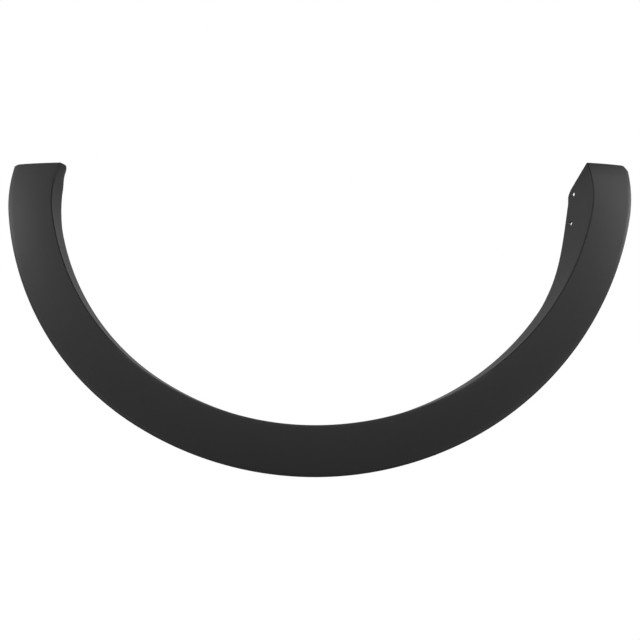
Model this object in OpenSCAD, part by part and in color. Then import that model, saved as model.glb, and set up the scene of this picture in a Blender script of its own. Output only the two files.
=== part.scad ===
// Wheel arch trim: one thin moulded shell that follows the wheel opening of a car body.
// It stands as it is fitted: +Z up, the opening below, the face towards -Y, the body behind it at Y = 0.
// The origin is the middle of the rim's seat at the top of the arch. The screw tab is at the -X end.

/* [Arch outline] */
// Radius of the outer edge over the crown
crown_r = 474; // [440:1:520]
// Length of the crown's arc towards the plain end
crown_len_plain = 275; // [240:1:300]
// Length of the crown's arc towards the tab end
crown_len_tab = 195; // [170:1:220]
// Radius of the outer edge along the plain limb
side_r_plain = 392; // [370:1:410]
// Radius of the outer edge along the tab limb
side_r_tab = 441; // [420:1:460]
// Length of the plain limb's arc
side_len_plain = 354; // [340:1:365]
// Length of the tab limb's arc
side_len_tab = 430; // [415:1:440]
// Radius of the outer edge where each limb turns in at its end
end_r = 183; // [170:1:200]
// Length of the turned-in arc at the plain end, down to the end cut
end_len_plain = 72.1; // [60:0.1:85]
// Length of the turned-in arc at the tab end, down to the end cut
end_len_tab = 77.9; // [66:0.1:90]
// Turn of the plain end's cut from square to the outer edge, so that it lies about level, in degrees
end_turn_plain = 18; // [12:0.5:22]
// Turn of the tab end's cut from square to the outer edge, so that it lies about level, in degrees
end_turn_tab = 16.5; // [10:0.5:20]

/* [Face section] */
// Thickness of the moulded wall
wall = 2.8; // [2:0.1:3.5]
// Width of the face at the crown, from the outer edge to the fold
face_w_crown = 72; // [66:0.5:76]
// Width of the face at the plain end
face_w_plain = 63; // [58:0.5:68]
// Width of the face at the tab end
face_w_tab = 56.5; // [52:0.5:62]
// Width of the flat seat on the rim's back edge
seat_w = 2.8; // [2:0.1:4]
// Radius of the rim's rounding
rim_r = 11.3; // [9:0.1:13]
// Slope of the rim at its foot, in degrees
rim_foot_slope = 65; // [60:1:70]
// Slope of the rim where it meets the face, in degrees
rim_top_slope = 22; // [20:1:26]
// Slope of the crowned face beside the rim, in degrees
face_outer_slope = 18; // [14:1:19]
// Slope of the crowned face beside the fold, in degrees
face_inner_slope = 3; // [1:0.5:6]
// Depth of the fine groove that marks the fold along the limbs
groove_depth = 1.3; // [0.6:0.1:1.5]

/* [Return flange] */
// Depth of the flange behind the fold at the crown
depth_crown = 25; // [20:0.5:28]
// Depth of the flange at the plain end
depth_plain = 30; // [24:0.5:34]
// Depth of the screw tab
depth_tab = 36; // [32:0.5:40]
// How far the flange leans into the opening at the crown
lean_crown = 0.8; // [0.4:0.1:1.5]
// How far the flange leans into the opening along the plain limb
lean_side = 6.2; // [3:0.1:8]
// How far the flange leans into the opening where the plain limb turns in
lean_plain = 9.4; // [6:0.1:11]
// How far the flange leans into the opening at the plain tip
lean_tip = 5.4; // [2:0.1:9]
// How far the flange leans into the opening where the tab begins
lean_limb = 11.2; // [6:0.1:13]
// How far the screw tab leans into the opening
lean_tab = 30; // [24:0.1:34]
// Radius of the flange's corner at the plain end
flange_corner_r = 14; // [6:0.5:20]

/* [Screw tab] */
// Turn of the tab's slanted cut from square to the outer edge, the other way, in degrees
tab_turn = 47.5; // [42:0.5:50]
// Radius of the tab's corner
tab_corner_r = 6.5; // [4:0.5:9]
// Diameter of the screw holes
hole_d = 6; // [5:0.1:6.5]
// Distance of the screw holes from the tab's back edge
hole_edge = 10; // [9:0.5:14]
// Distance of the lower screw hole from the end cut, measured along the outer edge
hole_low = 33; // [32:0.1:44]
// Distance of the upper screw hole from the end cut, measured along the outer edge
hole_high = 99; // [94:0.1:110]
// Diameter of the pad behind each screw hole
pad_d = 11; // [10:0.5:12]
// Height of the pad above the tab's back
pad_h = 1.4; // [1:0.1:2]

/* [Back features] */
// Number of clip seats on the back of the face
clip_count = 7; // [3:2:7]
// Distance between clip seats, measured along the outer edge
clip_pitch = 185; // [160:5:190]
// Length of a clip seat along the arch
clip_len = 24; // [20:1:28]
// Width of a clip seat across the face
clip_w = 19; // [16:1:20]
// Distance of a clip seat from the fold
clip_from_fold = 15; // [14:0.5:18]
// Thickness of a clip seat's walls
clip_wall = 1.6; // [1.2:0.1:2]
// Width of the slot that takes a clip's neck
clip_slot = 7.5; // [6:0.5:9]
// Clearance between the clip seats and the body panel
body_gap = 1.2; // [0.8:0.1:2]
// Number of gusset ribs in the fold between two clip seats
ribs_per_bay = 2; // [1:1:3]
// Length of each rib's two legs
rib_leg = 13; // [10:0.5:14]
// Thickness of a rib
rib_t = 1.8; // [1.4:0.1:2.4]

/* [Hidden] */
$fn = 48;
deg = 180 / PI;
plain = "plain end";
tab = "tab end";
// Rim foot: bevel beside the seat, upright land, and the seat's inner wall.
seat_inset = 0.4;
rim_foot_h = 0.7;
land_h = 1.8;
land_draft = 0.3;
crown_z = seat_inset + seat_w / 2;
// Fold: rounding of the face's inner edge, fillet behind it and easing of the flange's back edge.
edge_r = 1.7;
inner_fillet = 3;
edge_ease = 0.5;
// Corners of the rim at the two end cuts.
rim_corner_plain = 2;
rim_corner_tab = 7.5;
rim_corner_w = 6.5;
// Longest step of the loft along the arch, and counts of its steps near the ends and across the section.
crown_step = 15;
side_step = 14;
end_count = 13;
rim_count = 3;
face_count = 4;
back_count = 3;

// The outer edge of one limb is three arcs in a row, each tangent to the next.
function crown_len(side) = side == plain ? crown_len_plain : crown_len_tab;
function side_len(side) = side == plain ? side_len_plain : side_len_tab;
function side_r(side) = side == plain ? side_r_plain : side_r_tab;
function end_len(side) = side == plain ? end_len_plain : end_len_tab;
function end_turn(side) = side == plain ? end_turn_plain : end_turn_tab;
function sign_x(side) = side == plain ? 1 : -1;
function limb_len(side) = crown_len(side) + side_len(side);
function total_len(side) = limb_len(side) + end_len(side);

// Heading below level, in degrees, at the distance s along the outer edge.
function heading(side, s) =
    let (a = crown_len(side), b = limb_len(side))
    (min(s, a) / crown_r + max(0, min(s, b) - a) / side_r(side) + max(0, s - b) / end_r) * deg;

// Centres of the three arcs, one below the other along their common normals.
function crown_centre() = [0, crown_z - crown_r];
function side_centre(side) =
    let (h = heading(side, crown_len(side)))
    crown_centre() + (crown_r - side_r(side)) * [sin(h), cos(h)];
function end_centre(side) =
    let (h = heading(side, limb_len(side)))
    side_centre(side) + (side_r(side) - end_r) * [sin(h), cos(h)];

// Point at s, moved inwards by t from the outer edge, as [distance from the crown's middle, z].
function outline(side, s, t) =
    let (h = heading(side, s), in_crown = s <= crown_len(side), in_end = s > limb_len(side),
         c = in_crown ? crown_centre() : in_end ? end_centre(side) : side_centre(side),
         r = in_crown ? crown_r : in_end ? end_r : side_r(side))
    c + (r - t) * [sin(h), cos(h)];

// Heading at which a point at t reaches a straight cut through q that falls inwards, less a trimmed length.
function cut_heading(side, q, slope, t, trim) =
    let (r = end_r - t, reach = (q - end_centre(side)) * [-sin(slope), cos(slope)])
    acos(reach / r) - slope - trim / r * deg;

// Slope at which a cut falls inwards when it is turned from square to the outer edge at the limb's end.
function cut_slope(side, turn) = 90 - heading(side, total_len(side)) + turn;

// The end cut starts at the outer edge.
function end_heading(side, t, trim) =
    cut_heading(side, outline(side, total_len(side), 0), cut_slope(side, end_turn(side)), t, trim);

// The tab's slanted cut starts on the end cut, in the fold's rounding, and rises inwards.
function slanted_heading(t, trim) =
    let (from = face_w_tab - edge_r / 3, h = end_heading(tab, from, 0),
         start = end_centre(tab) + (end_r - from) * [sin(h), cos(h)])
    cut_heading(tab, start, cut_slope(tab, -tab_turn), t, trim);

function mix(a, b, share) = a + (b - a) * share;
function clamp01(x) = min(1, max(0, x));
function ease(x) = let (u = clamp01(x)) u * u * (3 - 2 * u);
function unit(v) = v / norm(v);

// Rises from 0 to 1 between two shares of a limb's whole length: evenly, or smoothly.
function ramp(side, s, from, to) = clamp01((s / total_len(side) - from) / (to - from));
function grow(side, s, from, to) = ease(ramp(side, s, from, to));

// How the section changes along each limb: width of the face, depth and lean of the flange, groove.
function face_w(side, s) = side == plain
    ? mix(face_w_crown, face_w_plain, pow(ramp(side, s, 0, 1), 2))
    : mix(face_w_crown, face_w_tab, grow(side, s, 0, 1));
function depth(side, s) = side == plain
    ? mix(depth_crown, depth_plain, grow(side, s, 0, 0.97))
    : mix(depth_crown, depth_tab, grow(side, s, 0.57, 0.85));
function lean(side, s) = side == plain
    ? mix(mix(lean_crown, lean_side, ramp(side, s, 0.2, 0.85))
        + (lean_plain - lean_side) * grow(side, s, 0.84, 0.93), lean_tip, grow(side, s, 0.95, 1))
    : mix(lean_crown, lean_limb, ramp(side, s, 0.21, 0.67))
        + (lean_tab - lean_limb) * grow(side, s, 0.62, 0.91);
function groove(side, s) = side == plain
    ? grow(side, s, 0.34, 0.57) * (1 - grow(side, s, 0.95, 0.99))
    : grow(side, s, 0.27, 0.5);

// The rim and the face are two arcs in the section, as points [t, y] at a given slope.
function rim_point(slope) = [
    rim_r * (sin(rim_foot_slope) - sin(slope)),
    -rim_foot_h - rim_r * (cos(slope) - cos(rim_foot_slope))];
function rim_w() = rim_point(rim_top_slope).x;
function face_r(w) = (w - edge_r - rim_w()) / (sin(face_outer_slope) - sin(face_inner_slope));
function face_point(w, slope) = rim_point(rim_top_slope) + face_r(w) * [
    sin(face_outer_slope) - sin(slope),
    cos(face_outer_slope) - cos(slope)];

// Height of the face's outer skin over a point at t.
function face_y(w, t) = face_point(w, asin(sin(face_outer_slope) - (t - rim_w()) / face_r(w))).y;

// Corner between the face and the flange, and the flange from there to its back edge, as [t, y].
function fold(side, s) = let (w = face_w(side, s)) [w, face_point(w, face_inner_slope).y];
function flange(side, s) = [lean(side, s), depth(side, s)];

// Fold without and with its groove, as distances [t, y] from the corner.
plain_fold = edge_r * [[-0.53, 0.09], [-0.24, 0.29], [0, 0.65], [0.01, 1.12], [0.03, 1.53]];
grooved_fold = [edge_r * [-0.74, 0.2], [edge_r * -0.56, groove_depth],
    [edge_r * -0.09, groove_depth + edge_r * 0.06], edge_r * [0.15, 0.5], edge_r * [0.41, 0.79]];

// Distance down the flange of its first full point, and shares of its length for the others.
flange_start = 2.5 * edge_r;
flange_shares = [0.45, 0.65, 0.82, 0.94, 1];

// A point of the section that isn't on the flange: [t, y, distance down the flange].
function off_flange(p) = [p.x, p.y, 0];

// Points of one skin of the flange, set back by the wall where they are on its inner skin.
function flange_skin(side, s, back) =
    let (f = fold(side, s), v = flange(side, s), dir = unit(v), across = [-dir.y, dir.x],
         eased = back > 0 ? -edge_ease : edge_ease)
    [for (along = concat([flange_start], flange_shares * norm(v)))
        let (p = f + across * (back + (along == norm(v) ? eased : 0)) + dir * along)
            [p.x, p.y, along]];

// Outer skin, from the seat over the rim, the face and the fold to the flange's back edge.
function outer_skin(side, s) =
    let (w = face_w(side, s), f = fold(side, s), g = groove(side, s))
    concat(
        [[seat_inset, 0, 0], [0, -seat_inset, 0]],
        [for (i = [0:rim_count]) off_flange(rim_point(mix(rim_foot_slope, rim_top_slope, i / rim_count)))],
        [for (i = [1:face_count])
            off_flange(face_point(w, mix(face_outer_slope, face_inner_slope, i / face_count)))],
        [for (i = [0:len(plain_fold) - 1]) off_flange(f + mix(plain_fold[i], grooved_fold[i], g))],
        flange_skin(side, s, 0));

// Inner skin, one wall behind the outer one.
function inner_skin(side, s) =
    let (w = face_w(side, s), from = rim_w() + 0.8 * wall,
         to = w - wall * unit(flange(side, s)).y - inner_fillet, seat = seat_inset + seat_w)
    concat(
        [[seat, 0, 0], [seat + land_draft, -land_h, 0]],
        [for (i = [0:back_count]) let (t = mix(from, to, i / back_count)) [t, face_y(w, t) + wall, 0]],
        flange_skin(side, s, wall));

// Length trimmed off the end of the rim, and off the end of the flange at a distance from its back edge.
function rim_trim(side, t) =
    (side == plain ? rim_corner_plain : rim_corner_tab) * max(0, 1 - t / rim_corner_w);
function flange_trim(side, back) =
    let (r = side == plain ? flange_corner_r : tab_corner_r, x = max(0, r - back))
    r - sqrt(r * r - x * x);

// Heading at which the point p of the section at s ends: at the end cut, or at the slanted cut of the tab.
function last_heading(side, s, p) =
    let (trim = p.z > 0 ? flange_trim(side, norm(flange(side, s)) - p.z) : rim_trim(side, p.x),
         h = end_heading(side, p.x, trim))
    side == plain ? h : min(h, slanted_heading(p.x, trim));

// One ring of points across the shell at s. Past the limb's arc the ring turns towards the cuts.
function ring(side, s) =
    let (over = ramp(side, s, limb_len(side) / total_len(side), 1),
         h0 = heading(side, limb_len(side)), c = end_centre(side),
         inner = inner_skin(side, s),
         skin = concat(outer_skin(side, s), [for (i = [len(inner) - 1:-1:0]) inner[i]]))
    [for (p = skin)
        let (h = mix(h0, last_heading(side, s, p), over),
             q = over > 0 ? c + (end_r - p.x) * [sin(h), cos(h)] : outline(side, s, p.x))
        [sign_x(side) * q.x, p.y, q.y]];

// Closes a ring with a strip of triangles between its two skins, each across the shorter diagonal.
// The outer skin runs up to the point m, and i and j are the next points on the outer and the inner skin.
function end_strip(r, m, i, j) =
    let (on_outer = i < m - 1, on_inner = j > m)
    !on_outer && !on_inner ? []
        : !on_inner || (on_outer && norm(r[i + 1] - r[j]) <= norm(r[i] - r[j - 1]))
            ? concat([[i, j, i + 1]], end_strip(r, m, i + 1, j))
            : concat([[i, j, j - 1]], end_strip(r, m, i, j - 1));

// Places of the rings along one limb, from the crown to the end.
function places(side) =
    let (a = crown_len(side), b = side_len(side), na = ceil(a / crown_step), nb = ceil(b / side_step))
    concat(
        [for (i = [1:na]) a * i / na],
        [for (i = [1:nb]) a + b * i / nb],
        [for (i = [1:end_count]) a + b + end_len(side) * i / end_count]);

module shell() {
    tab_places = places(tab);
    rings = concat(
        [for (i = [len(tab_places) - 1:-1:0]) ring(tab, tab_places[i])],
        [ring(plain, 0)],
        [for (s = places(plain)) ring(plain, s)]);
    n = len(rings[0]);
    m = len(outer_skin(plain, 0));
    last = len(rings) - 1;
    points = [for (r = rings) each r];
    sides = [for (k = [0:last - 1], i = [0:n - 1])
        let (j = (i + 1) % n, a = k * n + i, b = k * n + j)
        each [[a, b + n, b], [a, a + n, b + n]]];
    tab_end = [for (f = end_strip(rings[0], m, 0, n - 1)) [f[2], f[1], f[0]]];
    plain_end = [for (f = end_strip(rings[last], m, 0, n - 1)) f + last * n * [1, 1, 1]];
    polyhedron(points = points, faces = concat(sides, tab_end, plain_end), convexity = 12);
}

// Places what follows in the section plane at s: x goes inwards from the outer edge and y goes back.
module in_section(side, s) {
    p = outline(side, s, 0);
    translate([sign_x(side) * p.x, 0, p.y])
        rotate([0, 90 + sign_x(side) * heading(side, s), 0])
            children();
}

// Places what follows on the tab's outer skin at a screw hole, with z along the hole into the opening.
module at_hole(from_cut) {
    s = total_len(tab) - from_cut;
    v = flange(tab, s);
    p = fold(tab, s) + unit(v) * (norm(v) - hole_edge);
    in_section(tab, s)
        translate([p.x, p.y, 0])
            rotate([0, 0, -atan2(v.x, v.y)])
                rotate([0, 90, 0])
                    children();
}

module screw_pads() {
    for (from_cut = [hole_low, hole_high])
        at_hole(from_cut)
            translate([0, 0, -wall - pad_h])
                cylinder(d = pad_d, h = pad_h + wall / 2);
}

module screw_holes() {
    for (from_cut = [hole_low, hole_high])
        at_hole(from_cut)
            cylinder(d = hole_d, h = 6 * wall, center = true);
}

// A clip seat is a hollow box on the back of the face, open at one side, with a slot for the clip's neck.
module clip_seat(side, s) {
    w = face_w(side, s);
    t1 = w - clip_from_fold;
    t0 = t1 - clip_w;
    // The walls run into the face, and the hollow stops at its back.
    root = wall / 2;
    floor_y = wall + 0.2 * wall;
    roof_y = -body_gap - clip_wall;
    past = clip_wall;
    difference() {
        translate([0, 0, -clip_len / 2])
            linear_extrude(height = clip_len)
                polygon([[t0, face_y(w, t0) + root], [t1, face_y(w, t1) + root],
                         [t1, -body_gap], [t0, -body_gap]]);
        translate([0, 0, -clip_len / 2 + clip_wall])
            linear_extrude(height = clip_len - 2 * clip_wall)
                polygon([[t0 - past, face_y(w, t0) + floor_y],
                         [t1 - clip_wall, face_y(w, t1) + floor_y],
                         [t1 - clip_wall, roof_y], [t0 - past, roof_y]]);
        translate([t0 - past, roof_y - past, -clip_slot / 2])
            cube([clip_w / 2 + past, clip_wall + 2 * past, clip_slot]);
        translate([t0 + clip_w / 2, roof_y - past, 0])
            rotate([-90, 0, 0])
                cylinder(d = clip_slot, h = clip_wall + 2 * past);
    }
}

module clip_seats() {
    half = (clip_count - 1) / 2;
    for (i = [-half:half])
        in_section(i < 0 ? tab : plain, abs(i) * clip_pitch)
            clip_seat(i < 0 ? tab : plain, abs(i) * clip_pitch);
}

// A gusset rib stiffens the fold between the face and the flange.
module rib(side, s) {
    w = face_w(side, s);
    dir = unit(flange(side, s));
    root = wall * 0.55;
    corner = fold(side, s) + [-root * dir.y, root * dir.x] + dir * root;
    foot = w - rib_leg - wall;
    translate([0, 0, -rib_t / 2])
        linear_extrude(height = rib_t)
            polygon([corner, corner + dir * rib_leg, corner + [-wall / 2, rib_leg],
                     [foot, face_y(w, foot) + wall + rib_t / 3],
                     [foot, face_y(w, foot) + root]]);
}

module ribs() {
    bays = (clip_count - 1) / 2;
    for (side = [tab, plain], i = [0.5:bays * ribs_per_bay])
        in_section(side, i * clip_pitch / ribs_per_bay)
            rib(side, i * clip_pitch / ribs_per_bay);
}

module arch_trim() {
    color("#35363a")
        difference() {
            union() {
                shell();
                screw_pads();
                clip_seats();
                ribs();
            }
            screw_holes();
        }
}

arch_trim();
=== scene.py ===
"""Dresses a wheel arch trim as one grained plastic moulding in a plain pale studio.

The moulding is lofted at a fine step from the sizes below, joined with its screw pads, clip seats and
gusset ribs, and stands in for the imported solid. All sizes are in metres, in the frame of that solid:
+Z up as fitted, -Y towards the viewer, and the origin on the rim's seat at the top of the arch.
"""

import logging
import math
from dataclasses import dataclass
from enum import Enum
from typing import Iterable, NamedTuple, Sequence

import bmesh
import bpy
from mathutils import Matrix, Vector
from mathutils.geometry import tessellate_polygon


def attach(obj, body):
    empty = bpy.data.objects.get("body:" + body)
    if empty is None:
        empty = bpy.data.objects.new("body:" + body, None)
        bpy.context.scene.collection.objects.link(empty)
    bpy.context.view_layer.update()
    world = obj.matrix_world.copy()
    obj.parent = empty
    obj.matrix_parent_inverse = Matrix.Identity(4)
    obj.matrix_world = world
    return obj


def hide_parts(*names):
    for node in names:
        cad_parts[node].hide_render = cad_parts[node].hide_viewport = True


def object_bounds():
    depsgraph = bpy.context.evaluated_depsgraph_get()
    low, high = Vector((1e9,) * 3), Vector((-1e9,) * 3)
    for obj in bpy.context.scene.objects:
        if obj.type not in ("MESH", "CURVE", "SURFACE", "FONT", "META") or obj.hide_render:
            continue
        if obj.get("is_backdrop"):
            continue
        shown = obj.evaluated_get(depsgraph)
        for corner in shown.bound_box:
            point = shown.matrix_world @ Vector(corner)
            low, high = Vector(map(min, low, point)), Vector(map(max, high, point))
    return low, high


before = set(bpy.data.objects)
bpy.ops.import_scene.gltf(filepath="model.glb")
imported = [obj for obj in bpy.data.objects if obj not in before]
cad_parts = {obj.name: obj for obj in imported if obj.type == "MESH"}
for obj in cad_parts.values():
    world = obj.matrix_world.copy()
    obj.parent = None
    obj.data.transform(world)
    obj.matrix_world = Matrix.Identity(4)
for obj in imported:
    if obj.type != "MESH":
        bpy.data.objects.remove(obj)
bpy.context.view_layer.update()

LOG = logging.getLogger("arch_trim")
MM = 0.001
WHITE = (1.0, 1.0, 1.0, 1.0)


class Limb(Enum):
    """The two limbs of the arch, each with the sign of its X direction."""

    PLAIN = 1
    TAB = -1


class SkinSide(Enum):
    """The two sides of the moulded wall, each with its material slot's number."""

    SHOW = 0
    BACK = 1


class Span(NamedTuple):
    """The part of a limb in which something changes, as two shares of the limb's whole length."""

    start: float
    stop: float


class SkinPoint(NamedTuple):
    """A point of the section: distances in from the outer edge, back, and down the flange."""

    inward: float
    back: float
    along: float = 0.0


def mix(low: float, high: float, share: float) -> float:
    """Returns the value at a share of the way from low to high."""
    return low + (high - low) * share


def clamp01(value: float) -> float:
    """Returns the value, held between 0 and 1."""
    return min(1.0, max(0.0, value))


def ease(value: float) -> float:
    """Returns a smooth rise from 0 to 1 as the value goes from 0 to 1."""
    held = clamp01(value)
    return held * held * (3 - 2 * held)


def round_corners(points: Sequence[Vector], passes: int) -> list[Vector]:
    """Cuts the corners of an open line, again and again, until it is a smooth curve.

    Args:
        points: The line's points. The first and the last stay where they are.
        passes: How many times each corner is cut.

    Returns:
        The points of the smoother line.
    """
    line = list(points)
    for _ in range(passes):
        cut = [line[0]]
        for here, there in zip(line, line[1:]):
            cut += [here.lerp(there, 0.25), here.lerp(there, 0.75)]
        line = cut + [line[-1]]
    return line


@dataclass(frozen=True)
class LimbPath:
    """Arcs of the outer edge along one limb, and the turn of its end cut from square to the edge."""

    crown_len: float
    side_r: float
    side_len: float
    end_len: float
    end_turn: float


@dataclass(frozen=True)
class ArchOutline:
    """Outer edge of the arch: along each limb three arcs in a row, each tangent to the next."""

    crown_r: float = 0.474
    end_r: float = 0.183
    crown_z: float = 0.0018
    plain: LimbPath = LimbPath(
        crown_len=0.275, side_r=0.392, side_len=0.354, end_len=0.0721, end_turn=math.radians(18))
    tab: LimbPath = LimbPath(
        crown_len=0.195, side_r=0.441, side_len=0.430, end_len=0.0779, end_turn=math.radians(16.5))

    def path(self, limb: Limb) -> LimbPath:
        """Returns one limb's arcs."""
        return self.plain if limb is Limb.PLAIN else self.tab

    def limb_len(self, limb: Limb) -> float:
        """Returns the length of a limb's first two arcs."""
        return self.path(limb).crown_len + self.path(limb).side_len

    def total_len(self, limb: Limb) -> float:
        """Returns the whole length of a limb, down to its end cut."""
        return self.limb_len(limb) + self.path(limb).end_len

    def heading(self, limb: Limb, place: float) -> float:
        """Finds how far the edge has turned below level.

        Args:
            limb: The limb.
            place: Distance along the outer edge from the crown.

        Returns:
            The heading in radians.
        """
        path, turn_in = self.path(limb), self.limb_len(limb)
        in_crown = min(place, path.crown_len) / self.crown_r
        in_side = max(0.0, min(place, turn_in) - path.crown_len) / path.side_r
        return in_crown + in_side + max(0.0, place - turn_in) / self.end_r

    def arc(self, limb: Limb, place: float) -> tuple[Vector, float]:
        """Finds the arc that holds a place on the outer edge.

        Args:
            limb: The limb.
            place: Distance along the outer edge from the crown.

        Returns:
            The arc's centre, as distance from the crown's middle and height, and its radius.
        """
        path, turn_in = self.path(limb), self.limb_len(limb)
        centre, radius = Vector((0.0, self.crown_z - self.crown_r)), self.crown_r
        for start, next_radius in ((path.crown_len, path.side_r), (turn_in, self.end_r)):
            if place > start:
                heading = self.heading(limb, start)
                centre += (radius - next_radius) * Vector((math.sin(heading), math.cos(heading)))
                radius = next_radius
        return centre, radius

    def point(self, limb: Limb, place: float, inward: float) -> Vector:
        """Finds a point of the arch seen from the front.

        Args:
            limb: The limb.
            place: Distance along the outer edge from the crown.
            inward: Distance in from the outer edge.

        Returns:
            Distance from the crown's middle, and height.
        """
        centre, radius = self.arc(limb, place)
        heading = self.heading(limb, place)
        return centre + (radius - inward) * Vector((math.sin(heading), math.cos(heading)))

    def cut_heading(self, limb: Limb, start: Vector, turn: float, inward: float, trim: float) -> float:
        """Finds the heading at which a line along the arch meets a straight cut near the limb's end.

        Args:
            limb: The limb.
            start: A point on the cut.
            turn: How far the cut is turned from square to the outer edge at the limb's end, in radians.
            inward: The line's distance in from the outer edge.
            trim: Length by which the line stops short of the cut.

        Returns:
            The heading in radians.
        """
        centre, _ = self.arc(limb, self.total_len(limb))
        slope = math.pi / 2 - self.heading(limb, self.total_len(limb)) + turn
        reach = self.end_r - inward
        across = (start - centre).dot(Vector((-math.sin(slope), math.cos(slope))))
        return math.acos(across / reach) - slope - trim / reach

    def end_heading(self, limb: Limb, inward: float, trim: float) -> float:
        """Returns the heading at which a line along the arch meets the end cut, less a trimmed length."""
        start = self.point(limb, self.total_len(limb), 0.0)
        return self.cut_heading(limb, start, self.path(limb).end_turn, inward, trim)

    def slanted_heading(self, turn: float, start_inward: float, inward: float, trim: float) -> float:
        """Finds the heading at which a line along the arch meets the tab's slanted cut.

        Args:
            turn: How far the cut is turned from square to the outer edge, in radians.
            start_inward: Where the cut starts on the end cut, as a distance in from the outer edge.
            inward: The line's distance in from the outer edge.
            trim: Length by which the line stops short of the cut.

        Returns:
            The heading in radians.
        """
        heading = self.end_heading(Limb.TAB, start_inward, 0.0)
        centre, _ = self.arc(Limb.TAB, self.total_len(Limb.TAB))
        start = centre + (self.end_r - start_inward) * Vector((math.sin(heading), math.cos(heading)))
        return self.cut_heading(Limb.TAB, start, -turn, inward, trim)


@dataclass(frozen=True)
class TrimSection:
    """Section of the moulding, and how it changes along each limb."""

    outline: ArchOutline = ArchOutline()
    wall: float = 2.8 * MM
    face_w_crown: float = 72 * MM
    face_w_plain: float = 63.0 * MM
    face_w_tab: float = 56.5 * MM
    seat_w: float = 2.8 * MM
    seat_inset: float = 0.4 * MM
    land_h: float = 1.8 * MM
    land_draft: float = 0.3 * MM
    rim_r: float = 11.3 * MM
    rim_foot_h: float = 0.7 * MM
    rim_foot_slope: float = math.radians(65)
    rim_top_slope: float = math.radians(22)
    face_outer_slope: float = math.radians(18)
    face_inner_slope: float = math.radians(3)
    edge_r: float = 1.7 * MM
    groove_depth: float = 1.3 * MM
    inner_fillet: float = 3.0 * MM
    flange_edge_r: float = 0.8 * MM
    depth_crown: float = 25 * MM
    depth_plain: float = 30 * MM
    depth_tab: float = 36 * MM
    lean_crown: float = 0.8 * MM
    lean_side: float = 6.2 * MM
    lean_plain: float = 9.4 * MM
    lean_tip: float = 5.4 * MM
    lean_limb: float = 11.2 * MM
    lean_tab: float = 30.0 * MM
    flange_corner_r: float = 14 * MM
    tab_turn: float = math.radians(47.5)
    tab_corner_r: float = 6.5 * MM
    rim_corner_plain: float = 2.0 * MM
    rim_corner_tab: float = 7.5 * MM
    rim_corner_w: float = 6.5 * MM
    # Where each change runs along its limb
    face_span: Span = Span(0.0, 1.0)
    depth_plain_span: Span = Span(0.0, 0.97)
    depth_tab_span: Span = Span(0.57, 0.85)
    lean_side_span: Span = Span(0.2, 0.85)
    lean_plain_span: Span = Span(0.84, 0.93)
    lean_tip_span: Span = Span(0.95, 1.0)
    lean_limb_span: Span = Span(0.21, 0.67)
    lean_tab_span: Span = Span(0.62, 0.91)
    groove_plain_span: Span = Span(0.34, 0.57)
    groove_tab_span: Span = Span(0.27, 0.5)
    groove_end_span: Span = Span(0.95, 0.99)
    # The flange's first point, in radii of the fold's edge, and the turns of its rounded back edge
    flange_start: float = 2.5
    flange_edge_turns: tuple[float, ...] = (math.radians(30), math.radians(60), math.radians(90))
    # Corners of the hidden skin, as shares of the wall, the land's draft, the face's height and the wall
    root_start: float = 0.8
    root_draft: float = 3.0
    root_rise: float = 0.62
    bend_reach: float = 1.06
    # How finely the lines are divided
    rim_steps: int = 12
    face_steps: int = 16
    flange_steps: int = 12
    fold_passes: int = 2

    def ramp(self, limb: Limb, place: float, span: Span) -> float:
        """Rises evenly from 0 to 1 between two shares of a limb's whole length.

        Args:
            limb: The limb.
            place: Distance along the outer edge from the crown.
            span: The shares of the limb at which the rise starts and stops.

        Returns:
            The height of the rise, from 0 to 1.
        """
        return clamp01((place / self.outline.total_len(limb) - span.start) / (span.stop - span.start))

    def grow(self, limb: Limb, place: float, span: Span) -> float:
        """Rises as ramp() does, with a smooth start and stop."""
        return ease(self.ramp(limb, place, span))

    def face_w(self, limb: Limb, place: float) -> float:
        """Finds the width of the face, from the outer edge to the fold.

        Args:
            limb: The limb.
            place: Distance along the outer edge from the crown.

        Returns:
            The width.
        """
        if limb is Limb.PLAIN:
            return mix(self.face_w_crown, self.face_w_plain, self.ramp(limb, place, self.face_span) ** 2)
        return mix(self.face_w_crown, self.face_w_tab, self.grow(limb, place, self.face_span))

    def depth(self, limb: Limb, place: float) -> float:
        """Finds the depth of the flange behind the fold.

        Args:
            limb: The limb.
            place: Distance along the outer edge from the crown.

        Returns:
            The depth.
        """
        if limb is Limb.PLAIN:
            return mix(self.depth_crown, self.depth_plain, self.grow(limb, place, self.depth_plain_span))
        return mix(self.depth_crown, self.depth_tab, self.grow(limb, place, self.depth_tab_span))

    def lean(self, limb: Limb, place: float) -> float:
        """Finds how far the flange's back edge leans into the opening.

        Args:
            limb: The limb.
            place: Distance along the outer edge from the crown.

        Returns:
            The lean, as a distance.
        """
        if limb is Limb.PLAIN:
            along_limb = mix(self.lean_crown, self.lean_side, self.ramp(limb, place, self.lean_side_span))
            turned_in = (self.lean_plain - self.lean_side) * self.grow(limb, place, self.lean_plain_span)
            return mix(along_limb + turned_in, self.lean_tip, self.grow(limb, place, self.lean_tip_span))
        along_limb = mix(self.lean_crown, self.lean_limb, self.ramp(limb, place, self.lean_limb_span))
        return along_limb + (self.lean_tab - self.lean_limb) * self.grow(limb, place, self.lean_tab_span)

    def groove(self, limb: Limb, place: float) -> float:
        """Finds how far the fine groove along the fold is developed.

        Args:
            limb: The limb.
            place: Distance along the outer edge from the crown.

        Returns:
            A share, from 0 to 1.
        """
        if limb is Limb.PLAIN:
            fading = self.grow(limb, place, self.groove_end_span)
            return self.grow(limb, place, self.groove_plain_span) * (1 - fading)
        return self.grow(limb, place, self.groove_tab_span)

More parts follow.
